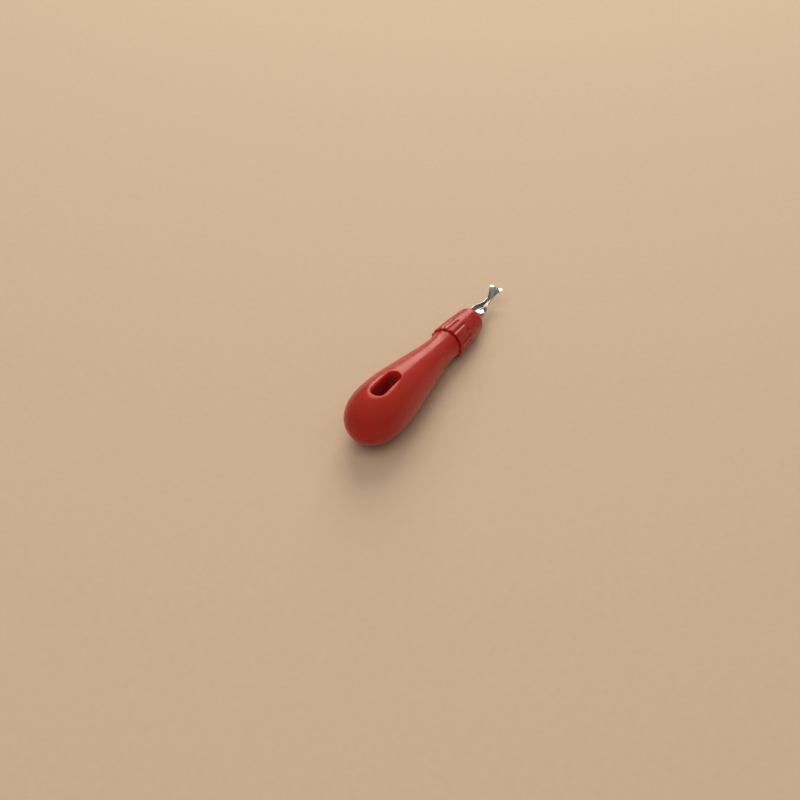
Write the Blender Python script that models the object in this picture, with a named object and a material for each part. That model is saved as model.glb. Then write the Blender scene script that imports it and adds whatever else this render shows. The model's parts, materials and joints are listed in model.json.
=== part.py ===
"""Lino cutter: a pear-shaped moulded handle whose screw collar clamps a pressed steel gouge nib.

The tool lies on the surface z = 0 as it does on a bench: the underside of the bulb and the back rim of
the collar touch the surface, and the tip points along +X. Every piece is modelled in millimetres on the
tool's own axis, with stations counted from the rear end of the handle towards the tip, and is turned to
metres as its mesh is made. One empty lays the whole tool down, and all joints lie on that empty's X axis.
"""

import math

import bmesh
import bpy
import numpy as np
from mathutils import Vector

MM = 0.001
GAP = 0.3
LOOSE_GAP = 0.4

# Handle: the pear, its flat lands, the hang slot through it and the socket in its neck
BULB_RADIUS = 13.05
BULB_STATION = 19.0
BULB_ROUNDNESS = 2.2
BULB_TURN_START = 6.0
BULB_TURN_END = 82.0
WAIST_STATION = 48.0
WAIST_RADIUS = 9.8
WAIST_SLOPE = -0.15
NECK_STATION = 70.0
NECK_RADIUS = 6.8
NECK_SLOPE = -0.06
NECK_END = 75.5
NECK_END_RADIUS = 7.0
NECK_EDGE = 0.4
LAND_HEIGHT = 12.2
SLOT_STATION = 22.6
SLOT_LENGTH = 18.8
SLOT_WIDTH = 6.0
SLOT_RIM = 1.0
RIM_LAND_TURN = 68.0
RIM_END_TURN = 75.0
SOCKET_DEPTH = 24.0
SOCKET_RADIUS = 5.0

# Screw thread between the chuck body and the collar
THREAD_START = 79.2
THREAD_PITCH = 2.0
THREAD_LENGTH = 8.0
THREAD_ROOT = 5.7
THREAD_DEPTH = 0.5

# Collar: fluted grip at the back, smooth nose in front
COLLAR_BACK = 75.9
COLLAR_RADIUS = 8.1
COLLAR_EDGE = 0.35
COLLAR_BACK_SLOPE = -0.06
COLLAR_NOSE = 99.0
NOSE_RADIUS = 6.5
NOSE_SLOPE = -0.11
NOSE_FILLET = 2.6
NOSE_HOLE = 4.15
FLUTES = 16
FLUTE_DEPTH = 0.45
FLUTE_END = 86.2
FLUTE_RUNOUT = 2.2
RUNOUT_SHARES = (0.0, 0.45, 0.75, 0.92, 1.0)

# Collet: the split sleeve, with a seat in the chuck body's mouth and a nose cone in the collar
COLLET_TAIL = 82.0
COLLET_TAIL_RADIUS = 4.65
COLLET_HEAD = 91.6
COLLET_HEAD_RADIUS = 5.4
COLLET_FRONT = 96.2
COLLET_FRONT_RADIUS = 4.6
SEAT_START = 85.5
SEAT_END = 88.2
SEAT_SLOPE = 0.15
SLIT_START = 84.5
SLIT_WIDTH = 0.8

# Core pin
PIN_START = 62.0
PIN_END = 95.8
PIN_RADIUS = 2.8
PIN_POINT = 0.6

# Cutter nib: a shank rolled round the core pin, which flattens to a tray, draws in to a neck and rises to a
# head that opens out to a shallow gouge. Floor and rim run through anchors of (station, height, slope).
SHANK_START = 80.6
SHANK_RADIUS = 3.8
SHANK_WALL = 0.7
SHANK_ARC = 131.0
TRAY_ARC = 70.0
TRAY_FLATNESS = 0.9
TAPER_START = 102.2
TAPER_END = 113.0
DRAW_IN_START = 105.5
DRAW_IN_END = 112.5
NIB_NECK_HALF = 1.2
TRAY_FLOOR = (105.3, -0.45, 0.03)
NECK_FLOOR = (113.5, -0.2, 0.15)
TIP_FLOOR = (121.6, 4.1, 0.35)
TRAY_RIM = (105.3, 1.75, 0.0)
NECK_RIM = (113.5, 2.2, 0.1)
SHOULDER_RIM = (118.3, 3.9, 0.35)
TIP_RIM = (121.6, 4.6, 0.15)
OPENING_START = 114.5
OPENING_END = 120.0
LIP_START = 117.6
FAN_START_HALF = 1.9
FAN_END_HALF = 3.2
DIP_START = 0.05
DIP_END = 0.45
HEAD_WALL = 0.55
BEVEL_START = 120.4
TIP_STATION = 121.6
TIP_WALL = 0.15

# Lying down: the steepest tilt looked at and how often the span is halved
TILT_LIMIT = 15.0
TILT_ROUNDS = 40

# Facets
SHARP_ANGLE = 32.0
CUTTER_OVERRUN = 1.0
HANDLE_SIDES = 48
BULB_STEPS = 10
SHOULDER_STEPS = 8
WAIST_STEPS = 5
NECK_STEPS = 3
RIM_STEPS = 5
FLUTE_SIDES = 6
NOSE_STEPS = 3
FILLET_STEPS = 5
THREAD_SIDES = 24
THREAD_ROWS = 6
ROUND_SIDES = 32
ARC_STEPS = 8
STRIP_STEPS = 14
TRAY_STEPS = 5
TAPER_STEPS = 8
HEAD_STEPS = 8


def clear_scene():
    for item in list(bpy.data.objects):
        bpy.data.objects.remove(item)


def finish(name, colour, roughness, metallic):
    """One Principled finish; the colour is linear."""
    material = bpy.data.materials.new(name)
    material.use_nodes = True
    shader = material.node_tree.nodes["Principled BSDF"]
    shader.inputs["Base Color"].default_value = (*colour, 1.0)
    shader.inputs["Roughness"].default_value = roughness
    shader.inputs["Metallic"].default_value = metallic
    return material


def loft(name, rings, tool_axis, hollow=False):
    """Skin rings of matching points, in millimetres, into one closed solid.

    The first and the last ring are capped, or on a hollow piece joined to each other.
    """
    shape = bmesh.new()
    loops = [[shape.verts.new(Vector(point) * MM) for point in ring] for ring in rings]
    pairs = list(zip(loops, loops[1:]))
    if hollow:
        pairs.append((loops[-1], loops[0]))
    else:
        shape.faces.new(loops[0])
        shape.faces.new(loops[-1])
    for near, far in pairs:
        for i in range(len(near)):
            shape.faces.new((near[i - 1], near[i], far[i], far[i - 1]))
    bmesh.ops.recalc_face_normals(shape, faces=shape.faces)
    mesh = bpy.data.meshes.new(name)
    shape.to_mesh(mesh)
    shape.free()
    mesh.shade_smooth()
    mesh.set_sharp_from_angle(angle=math.radians(SHARP_ANGLE))
    piece = bpy.data.objects.new(name, mesh)
    bpy.context.scene.collection.objects.link(piece)
    piece.parent = tool_axis
    return piece


def cut(piece, cutter):
    """Take the cutter's shape out of a piece, and keep the cutter as a hidden guide."""
    modifier = piece.modifiers.new(cutter.name, "BOOLEAN")
    modifier.operation = "DIFFERENCE"
    modifier.solver = "EXACT"
    modifier.object = cutter
    cutter.hide_render = True
    cutter.display_type = "WIRE"


def around(station, angle, radius):
    """A point on the tool: the angle turns right-handed about the axis and starts at the top."""
    return (station, -radius * math.sin(angle), radius * math.cos(angle))


def ring(station, radius, sides):
    return [around(station, math.tau * i / sides, radius) for i in range(sides)]


def turned(profile, sides):
    return [ring(station, radius, sides) for station, radius in profile]


def block(name, low, high, tool_axis):
    """A box between two corners, used as a cutter."""
    ends = []
    for station in (low[0], high[0]):
        ends.append([(station, low[1], low[2]), (station, high[1], low[2]),
                     (station, high[1], high[2]), (station, low[1], high[2])])
    return loft(name, ends, tool_axis)


def spread(start, end, steps):
    return [start + (end - start) * i / steps for i in range(steps + 1)]


def ease(x, start, end):
    """0 before start, 1 after end, and a smooth step between them."""
    t = min(max((x - start) / (end - start), 0.0), 1.0)
    return t * t * (3 - 2 * t)


def hermite(x, start, end):
    """Smooth curve between two (station, radius, slope) anchors."""
    span = end[0] - start[0]
    t = (x - start[0]) / span
    level = start[1] + (end[1] - start[1]) * ease(t, 0, 1)
    return level + span * t * (1 - t) * (start[2] * (1 - t) - end[2] * t)


def handle_profile():
    """Half outline of the pear, from the rear end over the neck and into the socket."""
    bulb = (BULB_STATION, BULB_RADIUS, 0.0)
    waist = (WAIST_STATION, WAIST_RADIUS, WAIST_SLOPE)
    neck = (NECK_STATION, NECK_RADIUS, NECK_SLOPE)
    end = (NECK_END, NECK_END_RADIUS, 0.0)
    power = 2 / BULB_ROUNDNESS
    profile = []
    for turn in spread(math.radians(BULB_TURN_START), math.radians(BULB_TURN_END), BULB_STEPS):
        station = BULB_STATION * (1 - math.cos(turn) ** power)
        profile.append((station, BULB_RADIUS * math.sin(turn) ** power))
    profile += [(x, hermite(x, bulb, waist)) for x in spread(BULB_STATION, WAIST_STATION, SHOULDER_STEPS)]
    profile += [(x, hermite(x, waist, neck)) for x in spread(WAIST_STATION, NECK_STATION, WAIST_STEPS)[1:]]
    throat = spread(NECK_STATION, NECK_END - NECK_EDGE, NECK_STEPS)[1:]
    profile += [(x, hermite(x, neck, end)) for x in throat]
    profile.append((NECK_END, NECK_END_RADIUS - NECK_EDGE))
    profile.append((NECK_END, SOCKET_RADIUS))
    profile.append((NECK_END - SOCKET_DEPTH, SOCKET_RADIUS))
    return profile


def slot_ring(height, growth):
    """Long-hole outline at one height, grown outwards for the rounded rim."""
    half = (SLOT_LENGTH - SLOT_WIDTH) / 2
    radius = SLOT_WIDTH / 2 + growth
    points = []
    for side in (1, -1):
        for turn in spread(-math.pi / 2, math.pi / 2, ARC_STEPS):
            station = SLOT_STATION + side * (half + radius * math.cos(turn))
            points.append((station, side * radius * math.sin(turn), height))
    return points


def slot_cutter(tool_axis):
    """Upright long-hole prism that flares at both lands, so that the slot gets rounded rims."""
    meets_land = LAND_HEIGHT - SLOT_RIM * math.sin(math.radians(RIM_LAND_TURN))
    upper = []
    for turn in spread(0.0, math.radians(RIM_END_TURN), RIM_STEPS):
        upper.append((meets_land + SLOT_RIM * math.sin(turn), SLOT_RIM * (1 - math.cos(turn))))
    upper.append((BULB_RADIUS + CUTTER_OVERRUN, upper[-1][1]))
    lower = [(-height, growth) for height, growth in reversed(upper)]
    return loft("hang_slot_cutter", [slot_ring(*level) for level in lower + upper], tool_axis)


def build_handle(tool_axis):
    handle = loft("handle", turned(handle_profile(), HANDLE_SIDES), tool_axis)
    for side, name in ((1, "upper_land_cutter"), (-1, "lower_land_cutter")):
        heights = sorted((side * LAND_HEIGHT, side * (BULB_RADIUS + CUTTER_OVERRUN)))
        low = (0, -BULB_RADIUS, heights[0])
        high = (WAIST_STATION, BULB_RADIUS, heights[1])
        cut(handle, block(name, low, high, tool_axis))
    cut(handle, slot_cutter(tool_axis))
    return handle


def thread_ring(station, root):
    """Ring through a rounded right-hand thread of the common pitch."""
    points = []
    for i in range(THREAD_SIDES):
        angle = math.tau * i / THREAD_SIDES
        wave = math.cos(math.tau * (station - THREAD_START) / THREAD_PITCH - angle)
        points.append(around(station, angle, root + THREAD_DEPTH * (1 + wave) / 2))
    return points


def thread_stations():
    rows = round(THREAD_ROWS * THREAD_LENGTH / THREAD_PITCH)
    return spread(THREAD_START, THREAD_START + THREAD_LENGTH, rows)


def build_chuck_body(tool_axis):
    """Turned stem: a plain spigot in the neck, a male thread, and a conical mouth round a bore."""
    spigot = SOCKET_RADIUS - GAP
    bore = COLLET_TAIL_RADIUS + GAP
    floor = SHANK_START - LOOSE_GAP
    face = NECK_END + GAP
    outside = [(NECK_END - SOCKET_DEPTH + GAP, spigot), (face, spigot), (face, THREAD_ROOT),
               (THREAD_START, THREAD_ROOT)]
    mouth = [(THREAD_START + THREAD_LENGTH, THREAD_ROOT), (SEAT_END, THREAD_ROOT),
             (SEAT_END, bore + SEAT_SLOPE * (SEAT_END - SEAT_START)), (SEAT_START, bore), (floor, bore),
             (floor, PIN_RADIUS + GAP), (PIN_START - GAP, PIN_RADIUS + GAP)]
    rings = turned(outside, THREAD_SIDES)
    rings += [thread_ring(station, THREAD_ROOT) for station in thread_stations()[2:-2]]
    rings += turned(mouth, THREAD_SIDES)
    return loft("chuck_body", rings, tool_axis)


def build_core_pin(tool_axis):
    profile = [(PIN_START, PIN_RADIUS), (PIN_END - PIN_POINT, PIN_RADIUS),
               (PIN_END, PIN_RADIUS - PIN_POINT)]
    return loft("core_pin", turned(profile, THREAD_SIDES), tool_axis)


def build_collet(tool_axis):
    """Split sleeve: a straight tail, a seat cone, a head, a nose cone and four slits from the front."""
    bore = SHANK_RADIUS + GAP
    seat_top = SEAT_START + (COLLET_HEAD_RADIUS - COLLET_TAIL_RADIUS) / SEAT_SLOPE
    profile = [(COLLET_TAIL, bore), (COLLET_TAIL, COLLET_TAIL_RADIUS), (SEAT_START, COLLET_TAIL_RADIUS),
               (seat_top, COLLET_HEAD_RADIUS), (COLLET_HEAD, COLLET_HEAD_RADIUS),
               (COLLET_FRONT, COLLET_FRONT_RADIUS), (COLLET_FRONT, bore)]
    collet = loft("collet", turned(profile, ROUND_SIDES), tool_axis, hollow=True)
    for name, turn in (("slit_cutter_rising", math.pi / 4), ("slit_cutter_falling", -math.pi / 4)):
        reach = COLLET_HEAD_RADIUS + CUTTER_OVERRUN
        low = (SLIT_START, -reach, -SLIT_WIDTH / 2)
        high = (COLLET_FRONT + CUTTER_OVERRUN, reach, SLIT_WIDTH / 2)
        slit = block(name, low, high, tool_axis)
        slit.rotation_euler.x = turn
        cut(collet, slit)
    return collet


def collar_ring(station, radius):
    """Ring of the collar's outside, scalloped by the flutes as far forward as they run."""
    runout = min(max((station - FLUTE_END + FLUTE_RUNOUT) / FLUTE_RUNOUT, 0.0), 1.0)
    depth = FLUTE_DEPTH * math.sqrt(1 - runout * runout)
    points = []
    sides = FLUTE_SIDES * FLUTES
    for i in range(sides):
        angle = math.tau * i / sides
        groove = max(0.0, math.cos(FLUTES * angle))
        points.append(around(station, angle, radius - depth * groove))
    return points


def collar_bore(tool_axis):
    """Inside of the collar: female thread, room for the collet's head, nose cone and nose hole."""
    crest = THREAD_ROOT + GAP
    root = crest + THREAD_DEPTH
    step = SEAT_END + LOOSE_GAP
    chamber = COLLET_HEAD_RADIUS + GAP
    ledge = COLLET_FRONT + GAP
    entry = [(COLLAR_BACK - CUTTER_OVERRUN, root + GAP), (COLLAR_BACK + GAP, root + GAP),
             (THREAD_START, root)]
    front = [(THREAD_START + THREAD_LENGTH, crest), (step, crest), (step, chamber),
             (COLLET_HEAD + GAP / 2, chamber), (ledge, COLLET_FRONT_RADIUS + GAP), (ledge, NOSE_HOLE),
             (COLLAR_NOSE + CUTTER_OVERRUN, NOSE_HOLE)]
    rings = turned(entry, THREAD_SIDES)
    rings += [thread_ring(station, crest) for station in thread_stations()[1:-1]]
    rings += turned(front, THREAD_SIDES)
    return loft("collar_bore_cutter", rings, tool_axis)


def build_collar(tool_axis):
    shoulder = COLLAR_NOSE - NOSE_FILLET
    back = (COLLAR_BACK + COLLAR_EDGE, COLLAR_RADIUS, COLLAR_BACK_SLOPE)
    front = (shoulder, NOSE_RADIUS, NOSE_SLOPE)
    stations = [back[0]]
    stations += [FLUTE_END - FLUTE_RUNOUT * (1 - share) for share in RUNOUT_SHARES]
    stations += spread(FLUTE_END, shoulder, NOSE_STEPS)[1:]
    profile = [(COLLAR_BACK, COLLAR_RADIUS - COLLAR_EDGE)]
    profile += [(x, hermite(x, back, front)) for x in stations]
    for turn in spread(0.0, math.pi / 2, FILLET_STEPS)[1:]:
        radius = NOSE_RADIUS - NOSE_FILLET * (1 - math.cos(turn))
        profile.append((shoulder + NOSE_FILLET * math.sin(turn), radius))
    collar = loft("collar", [collar_ring(*point) for point in profile], tool_axis)
    cut(collar, collar_bore(tool_axis))
    return collar


def through(station, anchors):
    """Height of a line through (station, height, slope) anchors, level before the first."""
    if station <= anchors[0][0]:
        return anchors[0][1]
    for start, end in zip(anchors, anchors[1:]):
        if station <= end[0]:
            return hermite(station, start, end)
    return anchors[-1][1]


def strip_line(station):
    """Middle of the strip's section: a rolled shank, then a flat tray, then a blade with a shallow dip."""
    flattened = ease(station, TAPER_START, TRAY_FLOOR[0])
    arc = math.radians(SHANK_ARC + (TRAY_ARC - SHANK_ARC) * flattened)
    widest = math.sin(min(arc, math.pi / 2))
    power = 1 + TRAY_FLATNESS * flattened * (1 - ease(station, TRAY_FLOOR[0], TAPER_END))
    shank = SHANK_RADIUS - SHANK_WALL / 2
    shank_floor = (TAPER_START, -shank, 0.0)
    shank_rim = (TAPER_START, -shank * math.cos(math.radians(SHANK_ARC)), 0.0)
    floor = through(station, (shank_floor, TRAY_FLOOR, NECK_FLOOR, TIP_FLOOR))
    rim = through(station, (shank_rim, TRAY_RIM, NECK_RIM, SHOULDER_RIM, TIP_RIM))
    half = shank + (NIB_NECK_HALF - shank) * ease(station, DRAW_IN_START, DRAW_IN_END)
    share = (station - OPENING_START) / (TIP_STATION - OPENING_START)
    fan = FAN_START_HALF + (FAN_END_HALF - FAN_START_HALF) * share
    opened = ease(station, OPENING_START, OPENING_END)
    levelled = ease(station, LIP_START, TIP_STATION)
    points = []
    for u in spread(-1.0, 1.0, STRIP_STEPS):
        trough = ((1 - math.cos(u * arc)) / (1 - math.cos(arc))) ** power
        blade = ease(abs(u), DIP_START, DIP_END)
        sideways = half * math.sin(u * arc) / widest * (1 - opened) + fan * u * opened
        points.append((sideways, floor + (rim - floor) * (trough * (1 - levelled) + blade * levelled)))
    return points


def nib_ring(station):
    """Section through the strip: its middle line offset to both faces, ground thin from below at the tip."""
    line = strip_line(station)
    wall = SHANK_WALL + (HEAD_WALL - SHANK_WALL) * ease(station, TAPER_START, TIP_STATION)
    ground = min(max((station - BEVEL_START) / (TIP_STATION - BEVEL_START), 0.0), 1.0)
    depth = wall / 2 + (TIP_WALL - wall) * ground
    upper = []
    lower = []
    for i, (sideways, height) in enumerate(line):
        before = line[max(i - 1, 0)]
        after = line[min(i + 1, STRIP_STEPS)]
        run = after[0] - before[0]
        climb = after[1] - before[1]
        length = math.hypot(run, climb)
        upper.append((station, sideways - climb / length * wall / 2, height + run / length * wall / 2))
        lower.append((station, sideways + climb / length * depth, height - run / length * depth))
    return upper + lower[::-1]


def build_cutter(tool_axis):
    stations = [SHANK_START, TAPER_START]
    stations += spread(TAPER_START, TRAY_FLOOR[0], TRAY_STEPS)[1:]
    stations += spread(TRAY_FLOOR[0], OPENING_START, TAPER_STEPS)[1:]
    stations += spread(OPENING_START, BEVEL_START, HEAD_STEPS)[1:]
    stations.append(TIP_STATION)
    return loft("cutter", [nib_ring(station) for station in stations], tool_axis)


def tool_points(pieces):
    """Corners of the finished pieces in the tool's own frame, in metres."""
    depsgraph = bpy.context.evaluated_depsgraph_get()
    clouds = []
    for piece in pieces:
        mesh = piece.evaluated_get(depsgraph).data
        clouds.append(np.array([corner.co for corner in mesh.vertices]))
    return np.vstack(clouds)


def lay_down(tool_axis, handle, collar, cutter):
    """Tip the tool until handle and collar touch one surface, and centre it over the origin."""
    bulb = tool_points([handle])
    rim = tool_points([collar])
    low = 0.0
    high = math.radians(TILT_LIMIT)
    for _ in range(TILT_ROUNDS):
        tilt = (low + high) / 2
        down = np.array((-math.sin(tilt), 0.0, math.cos(tilt)))
        if (bulb @ down).min() < (rim @ down).min():
            low = tilt
        else:
            high = tilt
    along = tool_points([handle, collar, cutter]) @ np.array((math.cos(tilt), 0.0, math.sin(tilt)))
    tool_axis.rotation_euler.y = tilt
    tool_axis.location = (-(along.min() + along.max()) / 2, 0.0, -(bulb @ down).min())


def build():
    clear_scene()
    tool_axis = bpy.data.objects.new("tool_axis", None)
    bpy.context.scene.collection.objects.link(tool_axis)
    handle = build_handle(tool_axis)
    collar = build_collar(tool_axis)
    chuck_body = build_chuck_body(tool_axis)
    collet = build_collet(tool_axis)
    core_pin = build_core_pin(tool_axis)
    cutter = build_cutter(tool_axis)
    handle.data.materials.append(finish("moulded_handle_plastic", (0.42, 0.022, 0.018), 0.28, 0.0))
    collar.data.materials.append(finish("moulded_collar_plastic", (0.42, 0.022, 0.018), 0.28, 0.0))
    chuck_body.data.materials.append(finish("turned_brass", (0.72, 0.52, 0.24), 0.35, 1.0))
    collet.data.materials.append(finish("slit_brass", (0.72, 0.52, 0.24), 0.35, 1.0))
    core_pin.data.materials.append(finish("drawn_steel", (0.50, 0.50, 0.50), 0.4, 1.0))
    cutter.data.materials.append(finish("polished_steel", (0.62, 0.61, 0.59), 0.18, 1.0))
    lay_down(tool_axis, handle, collar, cutter)


build()
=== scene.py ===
"""Lino cutter: the looks of each piece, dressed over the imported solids, with a pale studio and the camera."""

import json
import math

import bmesh
import bpy
from mathutils import Matrix, Vector


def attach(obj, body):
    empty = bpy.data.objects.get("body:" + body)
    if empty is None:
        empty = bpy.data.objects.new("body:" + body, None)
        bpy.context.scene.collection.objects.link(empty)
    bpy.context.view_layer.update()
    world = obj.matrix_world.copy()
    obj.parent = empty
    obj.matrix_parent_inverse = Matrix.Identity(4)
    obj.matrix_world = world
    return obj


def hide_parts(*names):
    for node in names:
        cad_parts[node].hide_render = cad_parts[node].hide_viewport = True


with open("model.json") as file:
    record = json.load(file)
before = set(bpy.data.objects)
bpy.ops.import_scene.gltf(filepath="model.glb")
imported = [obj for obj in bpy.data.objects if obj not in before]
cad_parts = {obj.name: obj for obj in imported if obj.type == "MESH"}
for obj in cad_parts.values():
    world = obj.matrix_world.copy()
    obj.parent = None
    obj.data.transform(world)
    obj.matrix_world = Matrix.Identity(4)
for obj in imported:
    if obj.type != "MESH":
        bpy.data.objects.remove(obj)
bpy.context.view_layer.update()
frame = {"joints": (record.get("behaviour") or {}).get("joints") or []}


# Handle: one solid pear of red ABS, injection moulded in a polished mould, with a long hang slot through the
# bulb. A flat oval land lies round each mouth of the slot, the slot's rims are rounded, and a blind socket in
# the neck takes the chuck. It is modelled on the tool's axis, in stations from its rear end.

MM = 0.001
JOINT_STATION = 88.0

collar_turn = next(joint for joint in frame["joints"] if joint["name"] == "collar_turn")
along = Vector(collar_turn["axis"]).normalized()
across = Vector((0, 1, 0))
tool = Matrix((along, across, along.cross(across))).transposed().to_4x4()
tool.translation = Vector(collar_turn["pos_m"]) - along * JOINT_STATION * MM

GAP = 0.3
BULB_RADIUS = 13.05
BULB_STATION = 19.0
BULB_ROUNDNESS = 2.2
WAIST = (48.0, 9.8, -0.15)
NECK = (70.0, 6.8, -0.06)
NECK_END = 75.5
NECK_END_RADIUS = 7.0
NECK_EDGE = 0.4
LAND_HEIGHT = 12.2
LAND_EDGE = 0.3
SLOT_STATION = 22.6
SLOT_LENGTH = 18.8
SLOT_WIDTH = 6.0
SLOT_RIM = 1.0
SOCKET_DEPTH = 24.0
SOCKET_RADIUS = 5.0
BULB_TURN_START = 2.0
BULB_TURN_END = 88.0
RIM_LAND_TURN = 80.0
RIM_END_TURN = 84.0
CUTTER_OVERRUN = 1.0
HANDLE_SIDES = 144
BULB_STEPS = 40
SHOULDER_STEPS = 44
WAIST_STEPS = 22
NECK_STEPS = 8
EDGE_STEPS = 5
RIM_STEPS = 9
SLOT_END_STEPS = 24


def spread(start, end, steps):
    return [start + (end - start) * i / steps for i in range(steps + 1)]


def ease(x, start, end):
    """0 before start, 1 after end, and a smooth step between them."""
    t = min(max((x - start) / (end - start), 0.0), 1.0)
    return t * t * (3 - 2 * t)


def hermite(x, start, end):
    """Smooth curve between two (station, radius, slope) anchors."""
    span = end[0] - start[0]
    t = (x - start[0]) / span
    level = start[1] + (end[1] - start[1]) * ease(t, 0, 1)
    return level + span * t * (1 - t) * (start[2] * (1 - t) - end[2] * t)


def around(station, angle, radius):
    """A point on the tool: the angle turns right-handed about the axis and starts at the top."""
    return (station, -radius * math.sin(angle), radius * math.cos(angle))


def turned(profile, sides):
    """Rings of a lathe profile of (station, radius)."""
    rings = []
    for station, radius in profile:
        rings.append([around(station, math.tau * i / sides, radius) for i in range(sides)])
    return rings


def rounded(corner, start, end, steps):
    """Quarter round between two profile points, bulging to the corner that they share."""
    points = []
    for turn in spread(0.0, math.pi / 2, steps):
        near = 1 - math.sin(turn)
        far = 1 - math.cos(turn)
        station = corner[0] + (start[0] - corner[0]) * near + (end[0] - corner[0]) * far
        points.append((station, corner[1] + (start[1] - corner[1]) * near + (end[1] - corner[1]) * far))
    return points


def skin(name, rings, hollow=False, crease=40.0):
    """Skin rings of matching points, in millimetres, into one closed piece on the tool's axis."""
    shape = bmesh.new()
    loops = [[shape.verts.new(Vector(point) * MM) for point in ring] for ring in rings]
    pairs = list(zip(loops, loops[1:]))
    if hollow:
        pairs.append((loops[-1], loops[0]))
    else:
        shape.faces.new(loops[0])
        shape.faces.new(loops[-1])
    for near, far in pairs:
        for i in range(len(near)):
            shape.faces.new((near[i - 1], near[i], far[i], far[i - 1]))
    bmesh.ops.recalc_face_normals(shape, faces=shape.faces)
    mesh = bpy.data.meshes.new(name)
    shape.to_mesh(mesh)
    shape.free()
    mesh.shade_smooth()
    mesh.set_sharp_from_angle(angle=math.radians(crease))
    piece = bpy.data.objects.new(name, mesh)
    bpy.context.scene.collection.objects.link(piece)
    piece.matrix_world = tool
    return piece


def carve(piece, cutter, crease=40.0):
    """Take the cutter's shape out of a piece for good."""
    modifier = piece.modifiers.new("carve", "BOOLEAN")
    modifier.operation = "DIFFERENCE"
    modifier.solver = "EXACT"
    modifier.object = cutter
    bpy.context.view_layer.update()
    result = piece.evaluated_get(bpy.context.evaluated_depsgraph_get())
    carved = bpy.data.meshes.new_from_object(result)
    piece.modifiers.clear()
    piece.data = carved
    carved.shade_smooth()
    carved.set_sharp_from_angle(angle=math.radians(crease))
    bpy.data.objects.remove(cutter)


def pear_profile():
    """Half outline of the handle, from the rear end over the neck and down into the socket."""
    bulb = (BULB_STATION, BULB_RADIUS, 0.0)
    end = (NECK_END, NECK_END_RADIUS, 0.0)
    power = 2 / BULB_ROUNDNESS
    profile = []
    for turn in spread(math.radians(BULB_TURN_START), math.radians(BULB_TURN_END), BULB_STEPS):
        station = BULB_STATION * (1 - math.cos(turn) ** power)
        profile.append((station, BULB_RADIUS * math.sin(turn) ** power))
    profile += [(x, hermite(x, bulb, WAIST)) for x in spread(BULB_STATION, WAIST[0], SHOULDER_STEPS)]
    profile += [(x, hermite(x, WAIST, NECK)) for x in spread(WAIST[0], NECK[0], WAIST_STEPS)[1:]]
    edge = (NECK_END, NECK_END_RADIUS)
    edge_start = (NECK_END - NECK_EDGE, NECK_END_RADIUS)
    edge_end = (NECK_END, NECK_END_RADIUS - NECK_EDGE)
    profile += [(x, hermite(x, NECK, end)) for x in spread(NECK[0], edge_start[0], NECK_STEPS)[1:]]
    profile += rounded(edge, edge_start, edge_end, EDGE_STEPS)[1:]
    profile += [(NECK_END, SOCKET_RADIUS), (NECK_END - SOCKET_DEPTH, SOCKET_RADIUS)]
    return profile


def flattened(point):
    """Press a point of the pear down to the land, with a soft edge where the land meets the round."""
    station, y, z = point
    over = min(max(0.5 + 0.5 * (LAND_HEIGHT - abs(z)) / LAND_EDGE, 0.0), 1.0)
    height = LAND_HEIGHT + (abs(z) - LAND_HEIGHT) * over - LAND_EDGE * over * (1 - over)
    return (station, y, math.copysign(height, z))


def slot_cutter():
    """Long-hole prism that flares at both lands into rounded rims."""
    half = (SLOT_LENGTH - SLOT_WIDTH) / 2
    upper = []
    for turn in spread(0.0, math.radians(RIM_END_TURN), RIM_STEPS):
        height = LAND_HEIGHT - SLOT_RIM * (math.sin(math.radians(RIM_LAND_TURN)) - math.sin(turn))
        upper.append((height, SLOT_RIM * (1 - math.cos(turn))))
    upper.append((BULB_RADIUS + CUTTER_OVERRUN, upper[-1][1]))
    lower = [(-height, growth) for height, growth in reversed(upper)]
    rings = []
    for height, growth in lower + upper:
        radius = SLOT_WIDTH / 2 + growth
        ring = []
        for side in (1, -1):
            for turn in spread(-math.pi / 2, math.pi / 2, SLOT_END_STEPS):
                station = SLOT_STATION + side * (half + radius * math.cos(turn))
                ring.append((station, side * radius * math.sin(turn), height))
        rings.append(ring)
    return skin("hang_slot_cutter", rings)


def linear(code):
    """Linear colour of an sRGB hex code."""
    channels = [int(code[i:i + 2], 16) / 255 for i in (1, 3, 5)]
    return [c / 12.92 if c <= 0.04045 else ((c + 0.055) / 1.055) ** 2.4 for c in channels] + [1.0]


def per_mm(size):
    """Texture scale at which one feature of a pattern is this many millimetres."""
    return 1 / (size * MM)


def add(tree, kind, values={}, links={}, **settings):
    """Add a shader node: settings are its own, values are constant sockets, links feed its sockets."""
    made = tree.nodes.new("ShaderNode" + kind)
    for name, value in settings.items():
        setattr(made, name, value)
    for name, value in values.items():
        made.inputs[name].default_value = value
    for name, source in links.items():
        tree.links.new(source, made.inputs[name])
    return made


def blank_material(name):
    """A new material, its node tree, its Principled shader and the tool's own coordinates."""
    material = bpy.data.materials.new(name)
    material.use_nodes = True
    tree = material.node_tree
    place = add(tree, "TexCoord").outputs["Object"]
    return material, tree, tree.nodes["Principled BSDF"], place


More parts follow.
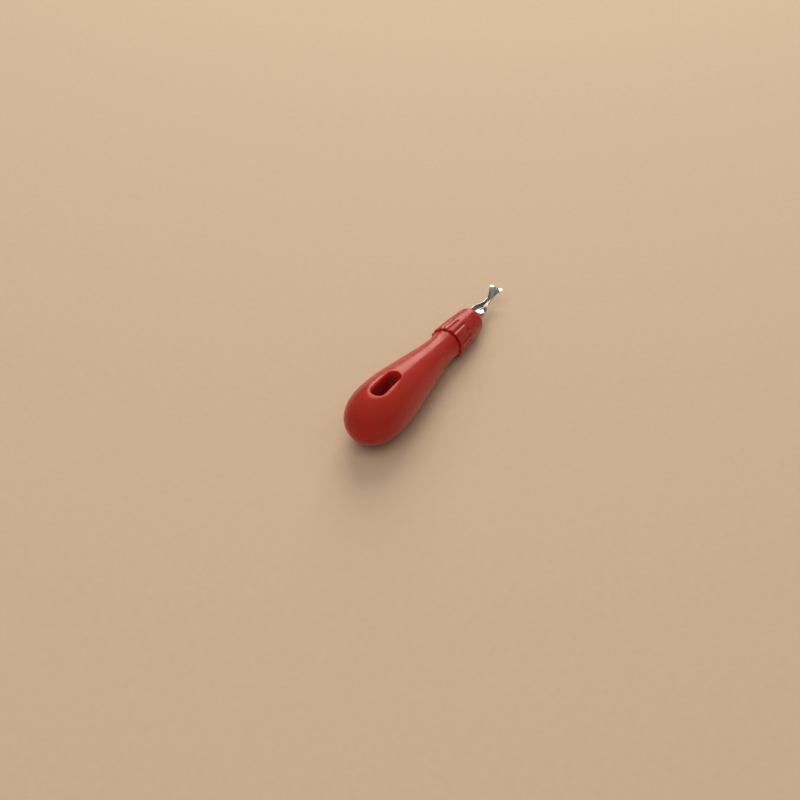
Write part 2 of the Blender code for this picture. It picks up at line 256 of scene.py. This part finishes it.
def moulded_abs(name, light, dark):
    """Red ABS from a polished mould: deep even colour, a clear gloss, and the scuffs of use.

    The colour clouds gently where the melt flowed, and light sinks some way into it, which lightens the slot.
    The gloss is tinted red, and is softer in patches where a palm has rubbed it. Hairline scuffs lie along
    and round the piece.
    """
    material, tree, shader, place = blank_material(name)
    shader.inputs["IOR"].default_value = 1.45
    shader.inputs["Specular Tint"].default_value = linear("#FF7C6E")
    shader.inputs["Subsurface Weight"].default_value = 0.85
    shader.inputs["Subsurface Radius"].default_value = (1.0, 0.15, 0.1)
    shader.inputs["Subsurface Scale"].default_value = 9 * MM
    flow = add(tree, "TexNoise", {"Scale": per_mm(14), "Detail": 3.0, "Roughness": 0.55}, {"Vector": place})
    colour = add(tree, "Mix", {6: linear(dark), 7: linear(light)}, {0: flow.outputs["Fac"]}, data_type="RGBA")
    tree.links.new(colour.outputs[2], shader.inputs["Base Color"])
    # Hairline scuffs are some 0.03 mm wide and are drawn at 0.2 mm so that they show
    lengthwise = add(tree, "Mapping", {"Scale": (0.05, 1.0, 1.0)}, {"Vector": place})
    roundabout = add(tree, "Mapping", {"Scale": (1.0, 0.06, 0.06), "Rotation": (0.0, 0.0, 0.5)},
                     {"Vector": place})
    hairs = add(tree, "TexNoise", {"Scale": per_mm(0.2), "Detail": 1.0}, {"Vector": lengthwise.outputs[0]})
    cross_hairs = add(tree, "TexNoise", {"Scale": per_mm(0.25), "Detail": 1.0},
                      {"Vector": roundabout.outputs[0]})
    scuffs = add(tree, "Math", {}, {0: hairs.outputs["Fac"], 1: cross_hairs.outputs["Fac"]},
                 operation="MAXIMUM")
    sparse = add(tree, "MapRange", {"From Min": 0.66, "From Max": 0.8}, {"Value": scuffs.outputs[0]})
    rubbed = add(tree, "TexNoise", {"Scale": per_mm(9), "Detail": 2.0}, {"Vector": place})
    gloss = add(tree, "MapRange", {"From Min": 0.35, "From Max": 0.7, "To Min": 0.2, "To Max": 0.3},
                {"Value": rubbed.outputs["Fac"]})
    dulled = add(tree, "Math", {1: 0.12}, {0: sparse.outputs[0], 2: gloss.outputs[0]},
                 operation="MULTIPLY_ADD")
    tree.links.new(dulled.outputs[0], shader.inputs["Roughness"])
    peel = add(tree, "TexNoise", {"Scale": per_mm(1.6), "Detail": 2.0}, {"Vector": place})
    relief = add(tree, "Math", {1: -0.2}, {0: sparse.outputs[0], 2: peel.outputs["Fac"]},
                 operation="MULTIPLY_ADD")
    bump = add(tree, "Bump", {"Strength": 0.35, "Distance": 0.02 * MM}, {"Height": relief.outputs[0]})
    tree.links.new(bump.outputs[0], shader.inputs["Normal"])
    return material


HANDLE_RED = "#B1342A"
HANDLE_DEEP_RED = "#A82D23"

pear = turned(pear_profile(), HANDLE_SIDES)
handle = skin("handle_body", [[flattened(point) for point in ring] for ring in pear])
carve(handle, slot_cutter())
handle.data.materials.append(moulded_abs("moulded_red_abs", HANDLE_RED, HANDLE_DEEP_RED))
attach(handle, "handle")
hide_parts("handle")


# Chuck body: a turned brass stem pressed into the neck's socket, with a rounded screw thread for the collar
# and a conical mouth for the collet. Only its thread shows, in the gap behind a loosened collar.

THREAD_START = 79.2
THREAD_PITCH = 2.0
THREAD_LENGTH = 8.0
THREAD_ROOT = 5.7
THREAD_DEPTH = 0.5
THREAD_ROWS = 16
THREAD_TRIM = 4
COLLET_TAIL_RADIUS = 4.65
SEAT_START = 85.5
SEAT_END = 88.2
SEAT_SLOPE = 0.15
SHANK_START = 80.6
LOOSE_GAP = 0.4
PIN_RADIUS = 2.8
PIN_START = 62.0
TURNED_SIDES = 96


def thread_rings(root, sides):
    """Rings through the rounded right-hand thread, without a few rows at each end."""
    rows = round(THREAD_ROWS * THREAD_LENGTH / THREAD_PITCH)
    rings = []
    for station in spread(THREAD_START, THREAD_START + THREAD_LENGTH, rows)[THREAD_TRIM:-THREAD_TRIM]:
        ring = []
        for i in range(sides):
            angle = math.tau * i / sides
            wave = math.cos(math.tau * (station - THREAD_START) / THREAD_PITCH - angle)
            ring.append(around(station, angle, root + THREAD_DEPTH * (1 + wave) / 2))
        rings.append(ring)
    return rings


def turned_brass(name, tool_mark):
    """Turned brass: a warm bright metal with the fine rings that a lathe tool leaves, dulled by handling."""
    material, tree, shader, place = blank_material(name)
    shader.inputs["Metallic"].default_value = 1.0
    tarnish = add(tree, "TexNoise", {"Scale": per_mm(3.5), "Detail": 4.0}, {"Vector": place})
    colour = add(tree, "Mix", {6: linear("#B8914A"), 7: linear("#D8B875")}, {0: tarnish.outputs["Fac"]},
                 data_type="RGBA")
    tree.links.new(colour.outputs[2], shader.inputs["Base Color"])
    # A wave turns 20 radians a unit, so a ring spans 2 pi tool feeds, drawn that coarse so that it shows
    rings = add(tree, "TexWave", {"Scale": per_mm(tool_mark) / 20, "Distortion": 0.4, "Detail": 1.0},
                {"Vector": place}, bands_direction="X")
    gloss = add(tree, "MapRange", {"To Min": 0.26, "To Max": 0.42}, {"Value": tarnish.outputs["Fac"]})
    tree.links.new(gloss.outputs[0], shader.inputs["Roughness"])
    bump = add(tree, "Bump", {"Strength": 0.3, "Distance": 0.01 * MM}, {"Height": rings.outputs["Fac"]})
    tree.links.new(bump.outputs[0], shader.inputs["Normal"])
    return material


spigot = SOCKET_RADIUS - GAP
mouth = COLLET_TAIL_RADIUS + GAP
floor_station = SHANK_START - LOOSE_GAP
pin_bore = PIN_RADIUS + GAP
stem_back = [(NECK_END - SOCKET_DEPTH + GAP, spigot), (NECK_END + GAP, spigot), (NECK_END + GAP, THREAD_ROOT),
             (THREAD_START, THREAD_ROOT)]
stem_front = [(THREAD_START + THREAD_LENGTH, THREAD_ROOT), (SEAT_END, THREAD_ROOT),
              (SEAT_END, mouth + SEAT_SLOPE * (SEAT_END - SEAT_START)), (SEAT_START, mouth),
              (floor_station, mouth), (floor_station, pin_bore), (PIN_START - GAP, pin_bore)]
stem = turned(stem_back, TURNED_SIDES)
stem += thread_rings(THREAD_ROOT, TURNED_SIDES)
stem += turned(stem_front, TURNED_SIDES)
chuck_body = skin("chuck_stem", stem, crease=30.0)
chuck_body.data.materials.append(turned_brass("turned_brass", tool_mark=0.35))
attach(chuck_body, "handle")
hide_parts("chuck_body")


# Core pin: a length of drawn steel rod, pressed into the chuck body, that fills the nib's trough so that the
# collet has something to squeeze the nib against. Its chamfered end is seen down the collar's nose.

PIN_END = 95.8
PIN_CHAMFER = 0.6
PIN_SIDES = 64


def drawn_steel(name):
    """Cold-drawn steel rod: grey, satin, with faint die lines along it and a few darker oil stains."""
    material, tree, shader, place = blank_material(name)
    shader.inputs["Metallic"].default_value = 1.0
    stain = add(tree, "TexNoise", {"Scale": per_mm(4), "Detail": 3.0}, {"Vector": place})
    colour = add(tree, "Mix", {6: linear("#8E8C88"), 7: linear("#B4B2AD")}, {0: stain.outputs["Fac"]},
                 data_type="RGBA")
    tree.links.new(colour.outputs[2], shader.inputs["Base Color"])
    # Die lines are a few hundredths of a millimetre wide and are drawn at 0.15 mm
    drawn = add(tree, "Mapping", {"Scale": (0.02, 1.0, 1.0)}, {"Vector": place})
    lines = add(tree, "TexNoise", {"Scale": per_mm(0.15), "Detail": 2.0}, {"Vector": drawn.outputs[0]})
    gloss = add(tree, "MapRange", {"To Min": 0.3, "To Max": 0.5}, {"Value": lines.outputs["Fac"]})
    tree.links.new(gloss.outputs[0], shader.inputs["Roughness"])
    bump = add(tree, "Bump", {"Strength": 0.25, "Distance": 0.01 * MM}, {"Height": lines.outputs["Fac"]})
    tree.links.new(bump.outputs[0], shader.inputs["Normal"])
    return material


pin = [(PIN_START, PIN_RADIUS), (PIN_END - PIN_CHAMFER, PIN_RADIUS), (PIN_END, PIN_RADIUS - PIN_CHAMFER)]
core_pin = skin("core_rod", turned(pin, PIN_SIDES), crease=30.0)
core_pin.data.materials.append(drawn_steel("drawn_steel_rod"))
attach(core_pin, "handle")
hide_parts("core_pin")


# Collet: a turned brass sleeve, sawn into four fingers from the front. The collar's nose cone drives it back
# into the chuck body's mouth and closes the fingers on the nib's shank.

COLLET_TAIL = 82.0
COLLET_HEAD = 91.6
COLLET_HEAD_RADIUS = 5.4
COLLET_FRONT = 96.2
COLLET_FRONT_RADIUS = 4.6
SHANK_RADIUS = 3.8
SLIT_START = 84.5
SLIT_WIDTH = 0.8

collet_bore = SHANK_RADIUS + GAP
seat_top = SEAT_START + (COLLET_HEAD_RADIUS - COLLET_TAIL_RADIUS) / SEAT_SLOPE
sleeve = [(COLLET_TAIL, collet_bore), (COLLET_TAIL, COLLET_TAIL_RADIUS), (SEAT_START, COLLET_TAIL_RADIUS),
          (seat_top, COLLET_HEAD_RADIUS), (COLLET_HEAD, COLLET_HEAD_RADIUS),
          (COLLET_FRONT, COLLET_FRONT_RADIUS), (COLLET_FRONT, collet_bore)]
collet = skin("collet_sleeve", turned(sleeve, TURNED_SIDES), hollow=True, crease=20.0)
for saw_turn in (math.pi / 4, -math.pi / 4):
    slab = []
    for station in (SLIT_START, COLLET_FRONT + CUTTER_OVERRUN):
        ring = []
        for y, z in ((-1, -1), (1, -1), (1, 1), (-1, 1)):
            flat = y * (COLLET_HEAD_RADIUS + CUTTER_OVERRUN)
            thick = z * SLIT_WIDTH / 2
            ring.append((station, flat * math.cos(saw_turn) - thick * math.sin(saw_turn),
                         flat * math.sin(saw_turn) + thick * math.cos(saw_turn)))
        slab.append(ring)
    carve(collet, skin("saw", slab), crease=20.0)
collet.data.materials.clear()
collet.data.materials.append(turned_brass("sawn_brass", tool_mark=0.25))
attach(collet, "collet")
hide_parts("collet")


# Collar: the red ABS screw collar, moulded with its thread. Sixteen flutes give the fingers a grip from its
# back edge over nearly half its length, and a smooth rounded nose closes in round the nib.

COLLAR_BACK = 75.9
COLLAR_RADIUS = 8.1
COLLAR_EDGE = 0.35
COLLAR_BACK_SLOPE = -0.06
COLLAR_NOSE = 99.0
NOSE_RADIUS = 6.5
NOSE_SLOPE = -0.11
NOSE_FILLET = 2.6
NOSE_HOLE = 4.15
NOSE_LIP = 0.15
FLUTES = 16
FLUTE_SIDES = 18
FLUTE_DEPTH = 0.45
FLUTE_HALF_WIDTH = 0.36
FLUTE_END = 86.2
FLUTE_RUNOUT = 1.6
FLUTE_STEPS = 10
RUNOUT_STEPS = 14
NOSE_STEPS = 14
FILLET_STEPS = 12

COLLAR_RED = "#B1342A"
COLLAR_DEEP_RED = "#A62C22"


def fluted(station, radius, sides):
    """Ring of the collar's outside, scooped by the flutes as far forward as they run."""
    runout = min(max((station - FLUTE_END + FLUTE_RUNOUT) / FLUTE_RUNOUT, 0.0), 1.0)
    ring = []
    for i in range(sides):
        angle = math.tau * i / sides
        offset = abs((FLUTES * i / sides + 0.5) % 1 - 0.5)
        reach = math.hypot(offset / FLUTE_HALF_WIDTH, runout)
        scoop = 1 - ease(reach, 0.0, 1.0)
        ring.append(around(station, angle, radius - FLUTE_DEPTH * scoop))
    return ring


collar_sides = FLUTES * FLUTE_SIDES
shoulder = COLLAR_NOSE - NOSE_FILLET
back = (COLLAR_BACK + COLLAR_EDGE, COLLAR_RADIUS, COLLAR_BACK_SLOPE)
front = (shoulder, NOSE_RADIUS, NOSE_SLOPE)
back_corner = (COLLAR_BACK, COLLAR_RADIUS)
back_face = (COLLAR_BACK, COLLAR_RADIUS - COLLAR_EDGE)
outside = rounded(back_corner, back_face, back[:2], EDGE_STEPS)
runout_start = FLUTE_END - FLUTE_RUNOUT
collar_stations = spread(back[0], runout_start, FLUTE_STEPS)[1:]
collar_stations += spread(runout_start, FLUTE_END, RUNOUT_STEPS)[1:]
collar_stations += spread(FLUTE_END, shoulder, NOSE_STEPS)[1:]
outside += [(station, hermite(station, back, front)) for station in collar_stations]
nose_turn = math.acos(1 - (NOSE_RADIUS - NOSE_HOLE - NOSE_LIP) / NOSE_FILLET)
for turn in spread(0.0, nose_turn, FILLET_STEPS)[1:]:
    radius = NOSE_RADIUS - NOSE_FILLET * (1 - math.cos(turn))
    outside.append((shoulder + NOSE_FILLET * math.sin(turn), radius))
nose_end = outside[-1][0]
crest = THREAD_ROOT + GAP
root = crest + THREAD_DEPTH
chamber = COLLET_HEAD_RADIUS + GAP
ledge = COLLET_FRONT + GAP
bore_front = [(nose_end, NOSE_HOLE), (ledge, NOSE_HOLE), (ledge, COLLET_FRONT_RADIUS + GAP),
              (COLLET_HEAD + GAP / 2, chamber), (SEAT_END + LOOSE_GAP, chamber),
              (SEAT_END + LOOSE_GAP, crest), (THREAD_START + THREAD_LENGTH, crest)]
bore_back = [(THREAD_START, root), (COLLAR_BACK + GAP, root + GAP), (COLLAR_BACK, root + GAP)]
collar_rings = [fluted(station, radius, collar_sides) for station, radius in outside]
collar_rings += turned(bore_front, collar_sides)
collar_rings += list(reversed(thread_rings(crest, collar_sides)))
collar_rings += turned(bore_back, collar_sides)
collar = skin("screw_collar", collar_rings, hollow=True)
collar.data.materials.append(moulded_abs("moulded_red_abs_collar", COLLAR_RED, COLLAR_DEEP_RED))
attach(collar, "collar")
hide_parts("collar")


# Nib: a gouge pressed from one strip of steel, hardened and polished. The shank is rolled round the core pin
# and flattens to a tray, which draws in to a neck and rises to a shallow gouge with a lip ground from below.

SHANK_WALL = 0.7
SHANK_ARC = 131.0
TRAY_ARC = 70.0
TRAY_FLATNESS = 0.9
TAPER_START = 102.2
TAPER_END = 113.0
DRAW_IN_START = 105.5
DRAW_IN_END = 112.5
NIB_NECK_HALF = 1.2
TRAY_FLOOR = (105.3, -0.45, 0.03)
TRAY_RIM = (105.3, 1.75, 0.0)
NECK_FLOOR = (113.5, -0.2, 0.15)
TIP_FLOOR = (121.6, 4.1, 0.35)
NECK_RIM = (113.5, 2.2, 0.1)
SHOULDER_RIM = (118.3, 3.9, 0.35)
TIP_RIM = (121.6, 4.6, 0.15)
OPENING_START = 114.5
OPENING_END = 120.0
LIP_START = 117.6
FAN_START_HALF = 1.9
FAN_END_HALF = 3.2
DIP_START = 0.05
DIP_END = 0.45
HEAD_WALL = 0.55
EDGE_THINNING = 0.7
EDGE_SHARPNESS = 4
BEVEL_START = 120.4
BEVEL_BLEND = 0.2
TIP_STATION = 121.6
TIP_WALL = 0.12
STRIP_STEPS = 48
SHANK_LEAD = 2.0
SHANK_STEPS = 4
TAPER_STEPS = 40
HEAD_STEPS = 30
BEVEL_STEPS = 5


def through(station, anchors):
    """Height of a line through (station, height, slope) anchors, level before the first."""
    if station <= anchors[0][0]:
        return anchors[0][1]
    for start, end in zip(anchors, anchors[1:]):
        if station <= end[0]:
            return hermite(station, start, end)
    return anchors[-1][1]


def strip_line(station):
    """Middle of the strip's section: a rolled shank, then a flat tray, then a blade with a shallow dip."""
    flattening = ease(station, TAPER_START, TRAY_FLOOR[0])
    arc = math.radians(SHANK_ARC + (TRAY_ARC - SHANK_ARC) * flattening)
    widest = math.sin(min(arc, math.pi / 2))
    power = 1 + TRAY_FLATNESS * flattening * (1 - ease(station, TRAY_FLOOR[0], TAPER_END))
    shank = SHANK_RADIUS - SHANK_WALL / 2
    shank_floor = (TAPER_START, -shank, 0.0)
    shank_rim = (TAPER_START, -shank * math.cos(math.radians(SHANK_ARC)), 0.0)
    floor = through(station, (shank_floor, TRAY_FLOOR, NECK_FLOOR, TIP_FLOOR))
    rim = through(station, (shank_rim, TRAY_RIM, NECK_RIM, SHOULDER_RIM, TIP_RIM))
    half = shank + (NIB_NECK_HALF - shank) * ease(station, DRAW_IN_START, DRAW_IN_END)
    share = (station - OPENING_START) / (TIP_STATION - OPENING_START)
    fan = FAN_START_HALF + (FAN_END_HALF - FAN_START_HALF) * share
    opened = ease(station, OPENING_START, OPENING_END)
    levelled = ease(station, LIP_START, TIP_STATION)
    points = []
    for u in spread(-1.0, 1.0, STRIP_STEPS):
        trough = ((1 - math.cos(u * arc)) / (1 - math.cos(arc))) ** power
        blade = ease(abs(u), DIP_START, DIP_END)
        sideways = half * math.sin(u * arc) / widest * (1 - opened) + fan * u * opened
        points.append((sideways, floor + (rim - floor) * (trough * (1 - levelled) + blade * levelled)))
    return points


def nib_ring(station):
    """Section through the strip: its upper face, then its lower face, ground thin at the tip."""
    line = strip_line(station)
    wall = SHANK_WALL + (HEAD_WALL - SHANK_WALL) * ease(station, TAPER_START, TIP_STATION)
    ground = min(max((station - BEVEL_START) / (TIP_STATION - BEVEL_START), 0.0), 1.0)
    thick = wall + (TIP_WALL - wall) * ground
    upper = []
    lower = []
    for i, (sideways, height) in enumerate(line):
        before = line[max(i - 1, 0)]
        after = line[min(i + 1, STRIP_STEPS)]
        run = Vector((after[0] - before[0], after[1] - before[1])).normalized()
        top = Vector((sideways, height)) + Vector((-run.y, run.x)) * wall / 2
        thinning = EDGE_THINNING * (2 * i / STRIP_STEPS - 1) ** EDGE_SHARPNESS
        upper.append(top)
        lower.append(top - Vector((-run.y, run.x)) * thick * (1 - thinning))
    return [(station, point.x, point.y) for point in upper + lower[::-1]]


def polished_steel(name):
    """Polished tool steel: bright and mirror-like, with fine buffing lines along it and a ground bevel.

    The lines stretch its reflections a little, and the bevel at the lip is more satin, as the wheel left it.
    """
    material, tree, shader, place = blank_material(name)
    shader.inputs["Metallic"].default_value = 1.0
    film = add(tree, "TexNoise", {"Scale": per_mm(5), "Detail": 3.0}, {"Vector": place})
    colour = add(tree, "Mix", {6: linear("#A8A6A2"), 7: linear("#BDBBB7")}, {0: film.outputs["Fac"]},
                 data_type="RGBA")
    tree.links.new(colour.outputs[2], shader.inputs["Base Color"])
    # Buffing lines are about 0.02 mm wide and are drawn at 0.12 mm
    buffed = add(tree, "Mapping", {"Scale": (0.03, 1.0, 1.0)}, {"Vector": place})
    lines = add(tree, "TexNoise", {"Scale": per_mm(0.12), "Detail": 2.0}, {"Vector": buffed.outputs[0]})
    station = add(tree, "SeparateXYZ", {}, {"Vector": place})
    bevel_range = {"From Min": (BEVEL_START - BEVEL_BLEND) * MM, "From Max": (BEVEL_START + BEVEL_BLEND) * MM}
    bevel = add(tree, "MapRange", bevel_range, {"Value": station.outputs[0]})
    gloss = add(tree, "MapRange", {"To Min": 0.1, "To Max": 0.2}, {"Value": lines.outputs["Fac"]})
    satin = add(tree, "Math", {1: 0.14}, {0: bevel.outputs[0], 2: gloss.outputs[0]}, operation="MULTIPLY_ADD")
    tree.links.new(satin.outputs[0], shader.inputs["Roughness"])
    bump = add(tree, "Bump", {"Strength": 0.12, "Distance": 0.01 * MM}, {"Height": lines.outputs["Fac"]})
    tree.links.new(bump.outputs[0], shader.inputs["Normal"])
    return material


nib_stations = [SHANK_START]
nib_stations += spread(SHANK_START + SHANK_LEAD, TAPER_START, SHANK_STEPS)
nib_stations += spread(TAPER_START, OPENING_START, TAPER_STEPS)[1:]
nib_stations += spread(OPENING_START, BEVEL_START, HEAD_STEPS)[1:]
nib_stations += spread(BEVEL_START, TIP_STATION, BEVEL_STEPS)[1:]
nib = skin("gouge_nib", [nib_ring(station) for station in nib_stations], crease=50.0)
nib.data.materials.append(polished_steel("polished_tool_steel"))
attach(nib, "cutter")
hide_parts("cutter")


# Studio: a plain pale matt floor, one softbox behind the tool for its long highlight, a broad overhead
# light, and the camera where the photograph was taken from.

FLOOR_SIZE = 6.0
FLOOR_SEGMENTS = 8
FLOOR_LIGHT = "#D3BAA0"
FLOOR_DARK = "#CCB297"
HORIZON_LIGHT = 0.13
ZENITH_LIGHT = 0.5
LAMP_WHITE = "#FFFAF0"
SKY_WHITE = "#FFFBF5"

floor_shape = bmesh.new()
bmesh.ops.create_grid(floor_shape, x_segments=FLOOR_SEGMENTS, y_segments=FLOOR_SEGMENTS, size=FLOOR_SIZE / 2)
floor_mesh = bpy.data.meshes.new("board")
floor_shape.to_mesh(floor_mesh)
floor_shape.free()
floor = bpy.data.objects.new("board", floor_mesh)
bpy.context.scene.collection.objects.link(floor)
board, tree, shader, place = blank_material("matt_pale_board")
shader.inputs["Roughness"].default_value = 0.8
shader.inputs["Specular IOR Level"].default_value = 0.2
fibre = add(tree, "TexNoise", {"Scale": per_mm(3), "Detail": 4.0}, {"Vector": place})
tint = add(tree, "Mix", {6: linear(FLOOR_DARK), 7: linear(FLOOR_LIGHT)}, {0: fibre.outputs["Fac"]},
           data_type="RGBA")
tree.links.new(tint.outputs[2], shader.inputs["Base Color"])
floor.data.materials.append(board)


def softbox(name, direction, distance, width, height, power, mirrored):
    """A rectangular soft light, at a direction from the tool's middle and facing it.

    Gloss mirrors the light or, behind a diffuser out of the tool's sight, does not.
    """
    lamp = bpy.data.lights.new(name, "AREA")
    lamp.shape = "RECTANGLE"
    lamp.size = width
    lamp.size_y = height
    lamp.energy = power
    lamp.color = linear(LAMP_WHITE)[:3]
    light = bpy.data.objects.new(name, lamp)
    light.visible_glossy = mirrored
    bpy.context.scene.collection.objects.link(light)
    way = Vector(direction).normalized()
    light.location = way * distance
    light.rotation_euler = way.to_track_quat("Z", "Y").to_euler()


softbox("back_softbox", direction=(0.72, 0.385, 0.575), distance=1.4, width=0.85, height=1.25,
        power=14.2, mirrored=True)
softbox("overhead_diffuser", direction=(-0.42, -0.08, 0.9), distance=1.6, width=1.2, height=1.2,
        power=7.6, mirrored=False)

world = bpy.data.worlds.new("studio")
world.use_nodes = True
sky = world.node_tree
direction = add(sky, "TexCoord").outputs["Generated"]
height = add(sky, "SeparateXYZ", {}, {"Vector": direction})
level = add(sky, "MapRange", {"To Min": HORIZON_LIGHT, "To Max": ZENITH_LIGHT},
            {"Value": height.outputs["Z"]})
sky.nodes["Background"].inputs["Color"].default_value = linear(SKY_WHITE)
sky.links.new(level.outputs[0], sky.nodes["Background"].inputs["Strength"])
bpy.context.scene.world = world

# The camera's place, in millimetres, and its directions are in the tool's own frame
CAMERA_PLACE = Vector((-512.8, -290.9, 494.7))
CAMERA_FORWARD = Vector((0.68797, 0.36446, -0.62759))
CAMERA_UP = Vector((0.51082, 0.37109, 0.77547))
SENSOR_WIDTH = 36.0
FOCAL_LENGTH = 82.88
NEAR_CLIP = 0.01
lens = bpy.data.cameras.new("camera")
lens.sensor_width = SENSOR_WIDTH
lens.lens = FOCAL_LENGTH
lens.clip_start = NEAR_CLIP
camera = bpy.data.objects.new("camera", lens)
bpy.context.scene.collection.objects.link(camera)
sight = CAMERA_FORWARD.normalized()
right = sight.cross(CAMERA_UP).normalized()
looking = tool.to_3x3() @ Matrix((right, right.cross(sight), -sight)).transposed()
camera.matrix_world = Matrix.Translation(tool @ (CAMERA_PLACE * MM)) @ looking.to_4x4()
bpy.context.scene.camera = camera
bpy.context.scene.view_settings.view_transform = "Standard"
